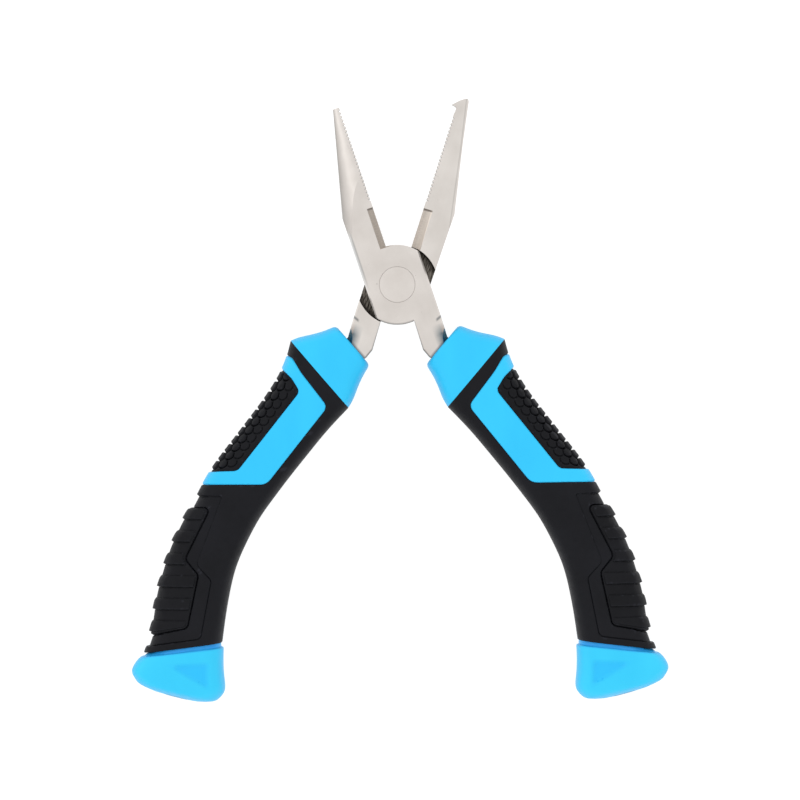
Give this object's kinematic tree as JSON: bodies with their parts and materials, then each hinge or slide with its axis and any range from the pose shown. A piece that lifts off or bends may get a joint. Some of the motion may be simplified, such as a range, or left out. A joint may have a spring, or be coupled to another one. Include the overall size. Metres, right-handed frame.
{
  "type": "fishing pliers",
  "caption": "Compact long-nose split-ring fishing pliers with serrated jaws, wire cutter, riveted lap joint and bowed two-material comfort grips",
  "frame": {"origin": "on the pivot axis, in the rear face of the joint", "axes": "+Y from the pivot to the jaw tips, +Z out of the front face along the pivot axis, +X to the right; the pliers lie on their back on the flats of their handles"},
  "size_m": [0.1072, 0.1201, 0.0122],
  "materials": {
    "steel": "satin nickel plate, fine ground grain",
    "rivet_steel": "satin nickel plate, ground flush",
    "core_plastic": "plain moulded, hidden",
    "blue_plastic": "satin moulded, sky blue",
    "grip_rubber": "matt soft-touch",
    "pad_rubber": "matt, moulded relief"
  },
  "bodies": {
    "rear_half": {"rear_lever": "steel", "pivot_rivet": "rivet_steel", "left_core": "core_plastic", "left_collar": "blue_plastic", "left_inlay": "blue_plastic", "left_scale_pad": "pad_rubber", "left_sleeve": "grip_rubber", "left_rib_pad": "pad_rubber", "left_end_cap": "blue_plastic"},
    "front_half": {"front_lever": "steel", "right_core": "core_plastic", "right_collar": "blue_plastic", "right_inlay": "blue_plastic", "right_scale_pad": "pad_rubber", "right_sleeve": "grip_rubber", "right_rib_pad": "pad_rubber", "right_end_cap": "blue_plastic"}
  },
  "joints": [
    {"name": "pivot", "type": "hinge", "parent": "rear_half", "child": "front_half", "pos_m": [0, 0, 0], "axis": [0, 0, 1], "range_deg": [-36.3, 12]}
  ]
}
